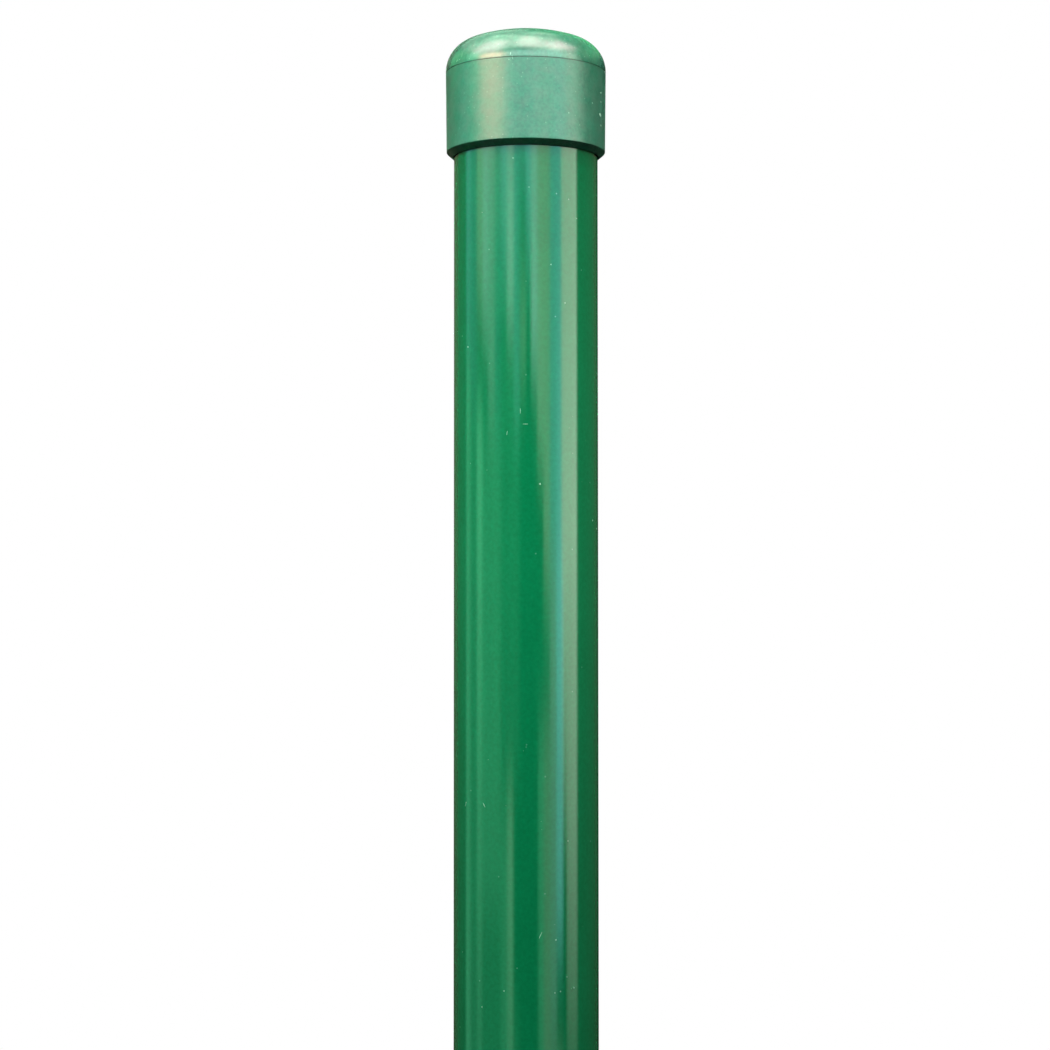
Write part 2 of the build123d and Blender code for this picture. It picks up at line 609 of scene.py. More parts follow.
class ShapeTrees:
    """The Geometry Nodes trees that turn, weld, rib and scatter."""

    def __init__(self) -> None:
        """Builds the trees."""
        self.turned = self.build_turned()
        self.tube = self.build_tube()
        self.cap = self.build_cap()
        self.nibs = self.build_nibs()

    @staticmethod
    def build_turned() -> NodeTree:
        """Turns an outline of edges about the Z axis.

        Returns:
            A group that gives one smooth closed mesh.
        """
        sketch = new_group(
            "turned_outline", "GeometryNodeTree",
            {"Outline": ("NodeSocketGeometry", None), "Segments": ("NodeSocketInt", 64)},
            {"Turned": "NodeSocketGeometry"},
        )
        given = sketch.node("NodeGroupInput").outputs
        points = sketch.out(
            "GeometryNodeAttributeDomainSize", {0: given["Outline"]}, "Point Count", component="MESH",
        )
        columns = sketch.math("ADD", given["Segments"], 1.0)
        grid = sketch.out("GeometryNodeMeshGrid", {"Vertices X": points, "Vertices Y": columns}, "Mesh")
        index = sketch.out("GeometryNodeInputIndex")
        along = sketch.math("FLOOR", sketch.math("DIVIDE", sketch.math("ADD", index, 0.5), columns))
        around = sketch.math("SUBTRACT", index, sketch.math("MULTIPLY", along, columns))
        turn = sketch.math("MODULO", around, given["Segments"])
        angle = sketch.math("DIVIDE", sketch.math("MULTIPLY", turn, math.tau), given["Segments"])
        position = sketch.out("GeometryNodeInputPosition")
        sampler = sketch.node("GeometryNodeSampleIndex", data_type="FLOAT_VECTOR", domain="POINT")
        for name, value in (("Geometry", given["Outline"]), ("Value", position), ("Index", along)):
            sketch.feed(sketch.socket(sampler.inputs, name), value)
        sampled = sketch.socket(sampler.outputs, "Value")
        on_outline = sketch.node("ShaderNodeSeparateXYZ", {0: sampled}).outputs
        place = sketch.out("ShaderNodeCombineXYZ", {
            "X": sketch.math("MULTIPLY", on_outline["X"], sketch.math("COSINE", angle)),
            "Y": sketch.math("MULTIPLY", on_outline["X"], sketch.math("SINE", angle)),
            "Z": on_outline["Z"],
        })
        bent = sketch.out("GeometryNodeSetPosition", {"Geometry": grid, "Position": place})
        closed = sketch.out("GeometryNodeMergeByDistance", {"Geometry": bent, "Distance": 1e-7})
        smooth = sketch.out("GeometryNodeSetShadeSmooth", {"Geometry": closed, "Shade Smooth": True})
        sketch.node("NodeGroupOutput", {"Turned": smooth})
        return sketch.tree

    @staticmethod
    def radius(sketch: TreeSketch) -> tuple[Socket, Socket]:
        """Adds the nodes that measure a point's distance from the Z axis.

        Args:
            sketch: the tree.

        Returns:
            The point's vector from the axis and its length.
        """
        position = sketch.out("GeometryNodeInputPosition")
        arm = sketch.vector("MULTIPLY", position, (1.0, 1.0, 0.0))
        return arm, sketch.vector("LENGTH", arm, key="Value")

    def build_tube(self) -> NodeTree:
        """Turns the tube's wall, raises its weld bead in the bore and dresses it.

        Returns:
            The tree.
        """
        sketch = new_group(
            "welded_tube", "GeometryNodeTree",
            {"Outline": ("NodeSocketGeometry", None), "Segments": ("NodeSocketInt", 256),
             "Wall Middle": ("NodeSocketFloat", 0.018), "Bead Width": ("NodeSocketFloat", 0.0026),
             "Bead Height": ("NodeSocketFloat", 0.0002), "Coated From": ("NodeSocketFloat", 0.0189),
             "Coating": ("NodeSocketMaterial", None), "Bare Metal": ("NodeSocketMaterial", None)},
            {"Tube": "NodeSocketGeometry"},
        )
        given = sketch.node("NodeGroupInput").outputs
        wall = sketch.group(self.turned, {"Outline": given["Outline"], "Segments": given["Segments"]})
        arm, radius = self.radius(sketch)
        axes = sketch.node("ShaderNodeSeparateXYZ", {0: arm}).outputs
        across = sketch.math("DIVIDE", sketch.math("MULTIPLY", axes["X"], 2.0), given["Bead Width"])
        bulge = sketch.math("SUBTRACT", 1.0, sketch.math("MULTIPLY", across, across))
        crown = sketch.math("MAXIMUM", bulge, 0.0)
        inside = sketch.math("LESS_THAN", radius, given["Wall Middle"])
        behind = sketch.math("GREATER_THAN", axes["Y"], 0.0)
        rise = sketch.math("MULTIPLY", sketch.math("MULTIPLY", crown, given["Bead Height"]), -1.0)
        lift = sketch.math("MULTIPLY", rise, sketch.math("MULTIPLY", inside, behind))
        outward = sketch.vector("NORMALIZE", arm)
        inward = sketch.out("ShaderNodeVectorMath", {0: outward, "Scale": lift}, operation="SCALE")
        welded = sketch.out("GeometryNodeSetPosition", {"Geometry": wall, "Offset": inward})
        real = sketch.out("GeometryNodeRealizeInstances", {"Geometry": welded})
        coated = sketch.out("GeometryNodeSetMaterial", {"Geometry": real, "Material": given["Coating"]})
        bare = sketch.math("LESS_THAN", radius, given["Coated From"])
        dressed = sketch.out(
            "GeometryNodeSetMaterial",
            {"Geometry": coated, "Selection": bare, "Material": given["Bare Metal"]},
        )
        sketch.node("NodeGroupOutput", {"Tube": dressed})
        return sketch.tree

    def build_cap(self) -> NodeTree:
        """Turns the cap's shell and sets the ribs round its inside.

        Returns:
            The tree.
        """
        sketch = new_group(
            "ribbed_cap", "GeometryNodeTree",
            {"Outline": ("NodeSocketGeometry", None), "Segments": ("NodeSocketInt", 256),
             "Rib": ("NodeSocketObject", None), "Rib Count": ("NodeSocketInt", 8),
             "Plastic": ("NodeSocketMaterial", None)},
            {"Cap": "NodeSocketGeometry"},
        )
        given = sketch.node("NodeGroupInput").outputs
        shell = sketch.group(self.turned, {"Outline": given["Outline"], "Segments": given["Segments"]})
        rib = sketch.out("GeometryNodeObjectInfo", {"Object": given["Rib"]}, "Geometry")
        roots = sketch.out("GeometryNodePoints", {"Count": given["Rib Count"]})
        share = sketch.math("DIVIDE", sketch.out("GeometryNodeInputIndex"), given["Rib Count"])
        turn = sketch.out("ShaderNodeCombineXYZ", {"Z": sketch.math("MULTIPLY", share, math.tau)})
        ring = sketch.out("GeometryNodeInstanceOnPoints", {
            "Points": roots, "Instance": rib, "Rotation": turn,
        })
        joined = sketch.node("GeometryNodeJoinGeometry")
        sketch.tree.links.new(ring, joined.inputs[0])
        sketch.tree.links.new(shell, joined.inputs[0])
        real = sketch.out("GeometryNodeRealizeInstances", {"Geometry": joined.outputs[0]})
        dressed = sketch.out("GeometryNodeSetMaterial", {"Geometry": real, "Material": given["Plastic"]})
        sketch.node("NodeGroupOutput", {"Cap": dressed})
        return sketch.tree

    def build_nibs(self) -> NodeTree:
        """Scatters low nibs over the outside of a tube.

        Returns:
            The tree.
        """
        sketch = new_group(
            "scattered_nibs", "GeometryNodeTree",
            {"Wall": ("NodeSocketGeometry", None), "Nib": ("NodeSocketObject", None),
             "Per Square Metre": ("NodeSocketFloat", 2500.0), "Smallest": ("NodeSocketFloat", 0.5),
             "Largest": ("NodeSocketFloat", 1.4), "Outside": ("NodeSocketFloat", 0.0189),
             "Lowest": ("NodeSocketFloat", 0.0), "Highest": ("NodeSocketFloat", 1.0),
             "Seed": ("NodeSocketInt", 1), "Skin": ("NodeSocketMaterial", None)},
            {"Nibs": "NodeSocketGeometry"},
        )
        given = sketch.node("NodeGroupInput").outputs
        _, radius = self.radius(sketch)
        position = sketch.out("GeometryNodeInputPosition")
        height = sketch.node("ShaderNodeSeparateXYZ", {0: position}).outputs["Z"]
        outside = sketch.math("GREATER_THAN", radius, given["Outside"])
        above = sketch.math("GREATER_THAN", height, given["Lowest"])
        below = sketch.math("LESS_THAN", height, given["Highest"])
        chosen = sketch.math("MULTIPLY", outside, sketch.math("MULTIPLY", above, below))
        spread = sketch.node("GeometryNodeDistributePointsOnFaces", {
            "Mesh": given["Wall"], "Selection": chosen,
            "Density": given["Per Square Metre"], "Seed": given["Seed"],
        })
        nib = sketch.out("GeometryNodeObjectInfo", {"Object": given["Nib"]}, "Geometry")
        size = sketch.node("FunctionNodeRandomValue", data_type="FLOAT")
        for name, value in (("Min", given["Smallest"]), ("Max", given["Largest"]), ("Seed", given["Seed"])):
            sketch.feed(sketch.socket(size.inputs, name), value)
        placed = sketch.out("GeometryNodeInstanceOnPoints", {
            "Points": spread.outputs["Points"], "Instance": nib, "Rotation": spread.outputs["Rotation"],
            "Scale": sketch.socket(size.outputs, "Value"),
        })
        real = sketch.out("GeometryNodeRealizeInstances", {"Geometry": placed})
        dressed = sketch.out("GeometryNodeSetMaterial", {"Geometry": real, "Material": given["Skin"]})
        sketch.node("NodeGroupOutput", {"Nibs": dressed})
        return sketch.tree


# The camera, and the places that it gives to marks on the post


@dataclass(frozen=True)
class PhotoCamera:
    """The photograph's camera, fitted to the cap's rings and the tube's edges."""

    frame_px: float = 1050.0
    lens_mm: float = 82.4
    sensor_mm: float = 36.0
    aside: float = -0.27 * MM
    in_front: float = 633.2 * MM
    below_rim_edge: float = 119.96 * MM
    pitch_deg: float = 1.937
    roll_deg: float = 0.024

    def turn(self) -> Matrix:
        """Rotation from the camera's axes to the post's."""
        upright = Matrix.Rotation(math.radians(90 + self.pitch_deg), 3, "X")
        return Matrix.Rotation(math.radians(self.roll_deg), 3, "Y") @ upright

    def place(self, rim_edge: float) -> Vector:
        """Where the camera stands."""
        return Vector((self.aside, -self.in_front, rim_edge - self.below_rim_edge))

    def build(self, rim_edge: float) -> None:
        """Makes the camera and gives it to the scene.

        Args:
            rim_edge: height of the outer edge at the cap's rim.
        """
        lens = bpy.data.cameras.new("photo_camera")
        lens.lens = self.lens_mm
        lens.sensor_width = self.sensor_mm
        lens.clip_start = 0.01
        lens.clip_end = 100.0
        made = bpy.data.objects.new("photo_camera", lens)
        made.matrix_world = Matrix.Translation(self.place(rim_edge)) @ self.turn().to_4x4()
        bpy.context.scene.collection.objects.link(made)
        bpy.context.scene.camera = made

    def wall_point(self, across_px: float, down_px: float, radius: float, rim_edge: float) -> Point:
        """Finds what a pixel shows on an upright round wall about the Z axis.

        Args:
            across_px: pixel from the left of the photograph.
            down_px: pixel from its top.
            radius: the wall's radius.
            rim_edge: height of the outer edge at the cap's rim.

        Returns:
            The angle about the axis, from +X towards +Y, and the height.
        """
        half = self.frame_px / 2
        per_px = self.sensor_mm / self.lens_mm / self.frame_px
        ray = self.turn() @ Vector(((across_px - half) * per_px, (half - down_px) * per_px, -1.0))
        start = self.place(rim_edge)
        a = ray.x**2 + ray.y**2
        b = start.x * ray.x + start.y * ray.y
        c = start.x**2 + start.y**2 - radius**2
        hit = start + ray * ((-b - math.sqrt(max(b * b - a * c, 0.0))) / a)
        return math.atan2(hit.y, hit.x), hit.z


@dataclass(frozen=True)
class SkinMark:
    """A raised fleck or scratch, by the pixel of the photograph that shows it."""

    across_px: float
    down_px: float
    length: float = 0.36 * MM
    width: float = 0.34 * MM
    lean_deg: float = 0.0
    height: float = 0.03 * MM


def build_marks(name: str, marks: list[SkinMark], camera: PhotoCamera, rim_edge: float,
                radius_at: object) -> Object:
    """Builds marks as low closed mounds that follow the wall that carries them.

    Args:
        name: the piece's name.
        marks: the marks.
        camera: the camera that gives their places.
        rim_edge: height of the outer edge at the cap's rim.
        radius_at: gives the wall's radius at a height.

    Returns:
        The piece.
    """
    around, rings, sunk = 14, (0.55, 1.0), 0.06 * MM
    shell = bmesh.new()
    for mark in marks:
        radius = radius_at(rim_edge)
        for _ in range(3):
            angle, height = camera.wall_point(mark.across_px, mark.down_px, radius, rim_edge)
            radius = radius_at(height)
        lean = math.radians(mark.lean_deg)

        def wall(along: float, across: float, lift: float) -> bmesh.types.BMVert:
            """Adds a point on the wall.

            Args:
                along: its way along the mark.
                across: its way across the mark.
                lift: its height over the wall.

            Returns:
                The point.
            """
            side = along * math.sin(lean) + across * math.cos(lean)
            up = along * math.cos(lean) - across * math.sin(lean)
            reach = radius_at(height + up) + lift
            turn = angle + side / radius
            return shell.verts.new((reach * math.cos(turn), reach * math.sin(turn), height + up))

        def ring(share: float, lift: float) -> list[bmesh.types.BMVert]:
            """Adds a ring of points.

            Args:
                share: its size as a share of the mark's.
                lift: its height over the wall.

            Returns:
                The points.
            """
            turns = [math.tau * step / around for step in range(around)]
            long, wide = mark.length / 2 * share, mark.width / 2 * share
            return [wall(long * math.cos(turn), wide * math.sin(turn), lift) for turn in turns]

        top = wall(0.0, 0.0, mark.height)
        loops = [ring(rings[0], mark.height * 0.75), ring(rings[1], 0.0), ring(rings[1], -sunk)]
        foot = wall(0.0, 0.0, -sunk)
        for step in range(around):
            after = (step + 1) % around
            shell.faces.new((top, loops[0][step], loops[0][after]))
            shell.faces.new((foot, loops[2][after], loops[2][step]))
            for inner, outer in zip(loops, loops[1:]):
                shell.faces.new((inner[step], outer[step], outer[after], inner[after]))
    bmesh.ops.recalc_face_normals(shell, faces=shell.faces)
    mesh = bpy.data.meshes.new(name)
    shell.to_mesh(mesh)
    shell.free()
    mesh.polygons.foreach_set("use_smooth", [True] * len(mesh.polygons))
    return link_object(name, mesh)


# The post


def low_nib(radius: float, height: float) -> Object:
    """Makes the nib that the scatter repeats, a low closed dome about the origin.

    Args:
        radius: its radius.
        height: its height.

    Returns:
        The helper object.
    """
    dome = bmesh.new()
    bmesh.ops.create_icosphere(dome, subdivisions=1, radius=1.0)
    bmesh.ops.scale(dome, vec=(radius, radius, height), verts=dome.verts)
    mesh = bpy.data.meshes.new("nib")
    dome.to_mesh(mesh)
    dome.free()
    mesh.polygons.foreach_set("use_smooth", [True] * len(mesh.polygons))
    made = link_object("nib", mesh)
    made.hide_render = True
    return made


@dataclass
class CoatedTube:
    """The post's tube: seam welded, zinc inside and at its cut ends, with a thick green coat outside."""

    foot: float
    top: float
    radius: float
    wall: float = 1.5 * MM
    edge_break: float = 0.3 * MM
    edge_rounding: float = 0.06 * MM
    bead_width: float = 2.6 * MM
    bead_height: float = 0.2 * MM
    segments: int = 288
    ring_spacing: float = 30 * MM
    rounding_steps: int = 3
    guard: float = 0.1 * MM
    nib_radius: float = 0.11 * MM
    nib_height: float = 0.035 * MM
    nibs_per_square_metre: float = 2200.0
    nib_seed: int = 7
    marks: list[SkinMark] = field(default_factory=list)

    @property
    def bore(self) -> float:
        """Radius of the bore."""
        return self.radius - self.wall

    def outline(self) -> list[Point]:
        """Outline of the wall, from the middle of its outside down and round to the same point.

        Returns:
            Its points.
        """
        middle = (self.foot + self.top) / 2
        ease = self.edge_break
        r = self.edge_rounding
        outer, inner = self.radius, self.bore
        low_run = [(outer, z, 0.0) for z in evenly(middle, self.foot + ease, self.ring_spacing)]
        bore_run = [(inner, z, 0.0) for z in evenly(self.foot + ease, self.top - ease, self.ring_spacing * 4)]
        high_run = [(outer, z, 0.0) for z in evenly(self.top - ease, middle, self.ring_spacing)]
        corners = [(outer, middle, 0.0), *low_run]
        corners += [(outer, self.foot + ease, r), (outer - ease, self.foot, r)]
        corners += [(inner + ease, self.foot, r), (inner, self.foot + ease, r), *bore_run]
        corners += [(inner, self.top - ease, r), (inner + ease, self.top, r)]
        corners += [(outer - ease, self.top, r), (outer, self.top - ease, r), *high_run, (outer, middle, 0.0)]
        return rounded_outline(corners, self.rounding_steps, self.guard)

    def build(self, trees: ShapeTrees, coating: Material, zinc: Material) -> Object:
        """Builds the tube.

        Args:
            trees: the Geometry Nodes trees.
            coating: finish of its outside.
            zinc: finish of its bore and cut ends.

        Returns:
            The piece.
        """
        tube = outline_object("coated_tube", self.outline())
        shape_by_tree(tube, trees.tube, {
            "Segments": self.segments,
            "Wall Middle": self.radius - self.wall / 2,
            "Bead Width": self.bead_width,
            "Bead Height": self.bead_height,
            "Coated From": self.radius - self.edge_break / 4,
            "Coating": coating,
            "Bare Metal": zinc,
        })
        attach(tube, BODY)
        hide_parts("post_tube")
        return tube

    def build_nibs(self, tube: Object, rim: float, trees: ShapeTrees, skin: Material) -> Object:
        """Scatters dust nibs over the coat.

        Args:
            tube: the finished tube.
            rim: height of the cap's rim, above which there are none.
            trees: the Geometry Nodes trees.
            skin: the nibs' finish.

        Returns:
            The piece.
        """
        nib = low_nib(self.nib_radius, self.nib_height)
        nibs = link_object("coating_nibs", tube.data.copy())
        shape_by_tree(nibs, trees.nibs, {
            "Nib": nib,
            "Per Square Metre": self.nibs_per_square_metre,
            "Smallest": 0.5,
            "Largest": 1.5,
            "Outside": self.radius - self.edge_break / 4,
            "Lowest": self.foot + 5 * MM,
            "Highest": rim - 15 * MM,
            "Seed": self.nib_seed,
            "Skin": skin,
        })
        drop_object(nib)
        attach(nibs, BODY)
        return nibs

    def build_marks(self, camera: PhotoCamera, rim_edge: float, skin: Material) -> Object:
        """Builds the flecks and scratches that the photograph shows.

        Args:
            camera: the photograph's camera.
            rim_edge: height of the outer edge at the cap's rim.
            skin: the marks' finish.

        Returns:
            The piece.
        """
        marks = build_marks("coating_marks", self.marks, camera, rim_edge, lambda height: self.radius)
        marks.data.materials.append(skin)
        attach(marks, BODY)
        return marks


@dataclass
class MouldedCap:
    """The push-on cap: a domed shell with a drafted skirt, a parting groove and ribs inside."""

    rim: float
    top: float
    radius: float
    tube_radius: float
    tube_bore: float
    tube_top: float
    clearance: float = 0.25 * MM
    rim_wall: float = 1.73 * MM
    rim_land: float = 0.12 * MM
    chamfer_height: float = 1.51 * MM
    parting_above_tube: float = 0.55 * MM
    groove_width: float = 0.16 * MM
    groove_depth: float = 0.08 * MM
    band_height: float = 0.4 * MM
    corner_radius: float = 8.5 * MM
    flat_start_deg: float = 20.0
    flat_end_deg: float = 70.0
    rim_rounding: float = 0.3 * MM
    rim_edge_lift: float = 0.05 * MM
    lip_lift: float = 0.16 * MM
    fine_rounding: float = 0.03 * MM
    inner_rounding: float = 0.4 * MM
    rib_count: int = 8
    rib_thickness: float = 1.4 * MM
    rib_start: float = 3.0 * MM
    rib_lead_in: float = 1.0 * MM
    stop_reach: float = 0.8 * MM
    gusset_lean_deg: float = 12.0
    rib_edge: float = 0.08 * MM
    segments: int = 256
    rounding_steps: int = 4
    guard: float = 0.06 * MM
    marks: list[SkinMark] = field(default_factory=list)

    @property
    def bore(self) -> float:
        """Radius of the bore."""
        return self.tube_radius + self.clearance

    @property
    def rim_edge(self) -> float:
        """Height of the outer edge above the rim's chamfer."""
        return self.rim + self.chamfer_height

    @property
    def rim_radius(self) -> float:
        """Radius at that edge."""
        return self.bore + self.rim_wall

    @property
    def parting(self) -> float:
        """Height of the parting groove."""
        return self.tube_top + self.parting_above_tube

    @property
    def corner(self) -> float:
        """Height at which the dome's corner starts."""
        return self.parting + self.band_height

    @property
    def wall(self) -> float:
        """Thickness of the dome."""
        return self.radius - self.bore

    def radius_at(self, height: float) -> float:
        """Radius of the cap's outside.

        Args:
            height: a height above the rim's edge.

        Returns:
            The radius there.
        """
        if height > self.corner:
            ring = self.radius - self.corner_radius
            return ring + math.sqrt(max(self.corner_radius**2 - (height - self.corner) ** 2, 0.0))
        share = (height - self.rim_edge) / (self.parting - self.rim_edge)
        return self.rim_radius + (self.radius - self.rim_radius) * min(share, 1.0)

    def dome(self, inset: float, crown_steps: int, corner_steps: int) -> list[Point]:
        """Points over the dome from its top out to its corner's foot.

        Args:
            inset: how far they lie under the outside.
            crown_steps: steps over the crown.
            corner_steps: steps round the corner.

        Returns:
            The points.
        """
        ring = self.radius - self.corner_radius
        rise = self.top - self.corner
        crown_radius = (ring**2 + rise**2 - self.corner_radius**2) / (2 * (rise - self.corner_radius))
        centre = self.top - crown_radius
        meeting = math.atan2(ring, self.corner - centre)
        points = []
        for step in range(crown_steps):
            angle = meeting * step / crown_steps
            reach = crown_radius - inset
            points.append((reach * math.sin(angle), centre + reach * math.cos(angle)))
        for step in range(corner_steps + 1):
            angle = meeting + (math.pi / 2 - meeting) * step / corner_steps
            reach = self.corner_radius - inset
            points.append((ring + reach * math.sin(angle), self.corner + reach * math.cos(angle)))
        return points

    def inner_corner(self, angle_deg: float) -> Point:
        """A corner of the flats inside the dome.

        Args:
            angle_deg: its angle above the horizontal.

        Returns:
            Its radius and height.
        """
        angle = math.radians(angle_deg)
        reach = self.corner_radius - self.wall
        ring = self.radius - self.corner_radius
        return ring + reach * math.cos(angle), self.corner + reach * math.sin(angle)

    def outline(self) -> list[Point]:
        """Outline of the shell, from the top of the dome down its outside and back up the inside.

        Returns:
            Its points.
        """
        half = self.groove_width / 2
        fine, inner = self.fine_rounding, self.inner_rounding
        corners = [(radius, height, 0.0) for radius, height in self.dome(0.0, 22, 18)]
        corners += [(self.radius, self.parting + half, fine)]
        corners += [(self.radius - self.groove_depth, self.parting, fine)]
        corners += [(self.radius, self.parting - half, fine)]
        edge, lip = self.rim_edge + self.rim_edge_lift, self.rim + self.lip_lift
        corners += [(self.radius_at(z), z, 0.0) for z in evenly(self.parting - half, edge, 2 * MM)]
        corners += [(self.rim_radius, edge, self.rim_rounding)]
        corners += [(self.bore + self.rim_land, lip, fine), (self.bore, lip, fine)]
        corners += [(self.bore, z, 0.0) for z in evenly(lip, self.corner, 5 * MM)]
        corners += [(self.bore, self.corner, inner)]
        corners += [(*self.inner_corner(self.flat_start_deg), inner)]
        corners += [(*self.inner_corner(self.flat_end_deg), inner)]
        corners += [(0.0, self.top - self.wall, 0.0)]
        return rounded_outline(corners, self.rounding_steps, self.guard)

    def rib(self) -> Object:
        """Makes one rib with its gusset, a thin plate with eased edges, in the XZ plane.

        Returns:
            The helper object.
        """
        root = self.wall / 2
        foot = self.rim + self.rib_start
        stop = self.tube_bore - self.stop_reach
        lean = math.tan(math.radians(self.gusset_lean_deg))
        over = [p for p in self.dome(root, 10, 8) if p[0] > stop - (p[1] - self.tube_top) * lean]
        first = over[0]
        gusset_top = (stop - (first[1] - self.tube_top) * lean, first[1])
        side = [(self.bore + root, foot), (self.bore, foot), (self.tube_radius, foot + self.rib_lead_in)]
        side += [(self.tube_radius, self.tube_top), (stop, self.tube_top), gusset_top, *over]
        plate = bmesh.new()
        half = self.rib_thickness / 2
        near = [plate.verts.new((radius, -half, height)) for radius, height in side]
        far = [plate.verts.new((radius, half, height)) for radius, height in side]
        plate.faces.new(near)
        plate.faces.new(far[::-1])
        for index in range(len(side)):
            after = (index + 1) % len(side)
            plate.faces.new((near[index], far[index], far[after], near[after]))
        bmesh.ops.recalc_face_normals(plate, faces=plate.faces)
        bmesh.ops.bevel(
            plate, geom=plate.edges[:], offset=self.rib_edge, segments=1, affect="EDGES", clamp_overlap=True,
        )
        mesh = bpy.data.meshes.new("rib")
        plate.to_mesh(mesh)
        plate.free()
        made = link_object("rib", mesh)
        made.hide_render = True
        return made

    def build(self, trees: ShapeTrees, plastic: Material) -> Object:
        """Builds the cap.

        Args:
            trees: the Geometry Nodes trees.
            plastic: its finish.

        Returns:
            The piece.
        """
        rib = self.rib()
        cap = outline_object("moulded_cap", self.outline())
        shape_by_tree(cap, trees.cap, {
            "Segments": self.segments, "Rib": rib, "Rib Count": self.rib_count, "Plastic": plastic,
        })
        drop_object(rib)
        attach(cap, BODY)
        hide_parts("post_cap")
        return cap

    def build_marks(self, camera: PhotoCamera, skin: Material) -> Object:
        """Builds the scuffs and flecks that the photograph shows on the cap.

        Args:
            camera: the photograph's camera.
            skin: the marks' finish.

        Returns:
            The piece.
        """
        marks = build_marks("cap_scuffs", self.marks, camera, self.rim_edge, self.radius_at)
        marks.data.materials.append(skin)
        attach(marks, BODY)
        return marks


# The studio

TALL_CARD_HEAD = 1.81
SKIRT_CARD_FOOT = 1.84
CLOSE_FADE = 0.02
SKIRT_SIDE_FADE = 6.0
SKIRT_HEAD_FADE = 0.15
DOME_SIDE_FADE = 12.0
DOME_FADE = 0.1


class Tint(Enum):
    """Colours of the reflected cards."""

    DAYLIGHT = (0.85, 1.0, 0.8)
    CREAM = (0.7, 1.0, 0.7)
    FROST = (0.6, 1.0, 0.9)
    ICE = (0.33, 0.95, 1.0)
    MINT = (0.25, 1.0, 0.55)
    LEAF = (0.2, 1.0, 0.35)
    SAND = (1.0, 0.64, 0.45)
    BLUSH = (1.0, 0.75, 0.75)


@dataclass(frozen=True)
class ReflectedCard:
    """A soft card beside the post that only its gloss shows.

    Its sides are angles round the post, in degrees from the front towards +X. Its foot and head are
    heights above the post's foot, and each fade is half the width of a soft edge.
    """

    left: float
    right: float
    foot: float
    head: float
    tint: Tint
    foot_glow: float
    head_glow: float
    side_fade: float = 4.0
    foot_fade: float = 0.05
    head_fade: float = 0.05

    def light(self, angle: np.ndarray, height: np.ndarray) -> np.ndarray:
        """Its light over the surround.

        Args:
            angle: degrees from the front towards +X.
            height: heights above the foot.

        Returns:
            A colour for each point.
        """
        share = np.clip((height - self.foot) / (self.head - self.foot), 0, 1)
        glow = self.foot_glow + (self.head_glow - self.foot_glow) * share
        glow *= rise(angle - self.left, self.side_fade) * rise(self.right - angle, self.side_fade)
        glow *= rise(height - self.foot, self.foot_fade) * rise(self.head - height, self.head_fade)
        return glow[..., None] * np.array(self.tint.value)


def rise(value: np.ndarray, width: float) -> np.ndarray:
    """Eases from 0 to 1 about zero."""
    share = np.clip(value / (2 * width) + 0.5, 0, 1)
    return share * share * (3 - 2 * share)


@dataclass
class ReflectedSurround:
    """A ring of cards round the post under a curved ceiling, which only gloss shows.

    Heights above its shoulder run on along the ceiling's curve.
    """

    cards: list[ReflectedCard]
    radius: float = 1.5
    shoulder: float = 1.86
    columns: int = 720
    rows: int = 210

    def build(self) -> Object:
        """Builds the ring.

        Returns:
            The stage object.
        """
        angles = np.linspace(-180, 180, self.columns, endpoint=False)
        top = self.shoulder + self.radius * (math.pi / 2 - 0.01)
        heights = np.linspace(0, top, self.rows)
        angle, height = np.meshgrid(angles, heights)
        glow = np.zeros((*angle.shape, 3))
        for card in self.cards:
            glow += card.light(angle, height)
        turn = np.radians(angle)
        lean = np.maximum(height - self.shoulder, 0) / self.radius
        reach = self.radius * np.cos(lean)
        level = np.minimum(height, self.shoulder) + self.radius * np.sin(lean)
        verts = np.stack([reach * np.sin(turn), -reach * np.cos(turn), level], -1).reshape(-1, 3)
        faces = []
        for row in range(self.rows - 1):
            for column in range(self.columns):
                after = (column + 1) % self.columns
                low, high = row * self.columns, (row + 1) * self.columns
                faces.append((low + column, low + after, high + after, high + column))
        mesh = bpy.data.meshes.new("reflected_surround")
        mesh.from_pydata(verts.tolist(), [], faces)
        layer = mesh.attributes.new("glow", "FLOAT_COLOR", "POINT")
        values = np.concatenate([glow, np.ones_like(glow[..., :1])], -1).astype(np.float32)
        layer.data.foreach_set("color", values.ravel())
        made = link_object("reflected_surround", mesh)
        material, sketch = new_material("card_glow")
        colour = sketch.out("ShaderNodeAttribute", key="Color", attribute_name="glow")
        shader = sketch.out("ShaderNodeEmission", {"Color": colour, "Strength": 1.0})
        sketch.node("ShaderNodeOutputMaterial", {"Surface": shader})
        material.cycles.emission_sampling = "NONE"
        mesh.materials.append(material)
        made.visible_camera = False
        made.visible_diffuse = False
        made.visible_shadow = False
        made.visible_transmission = False
        return made


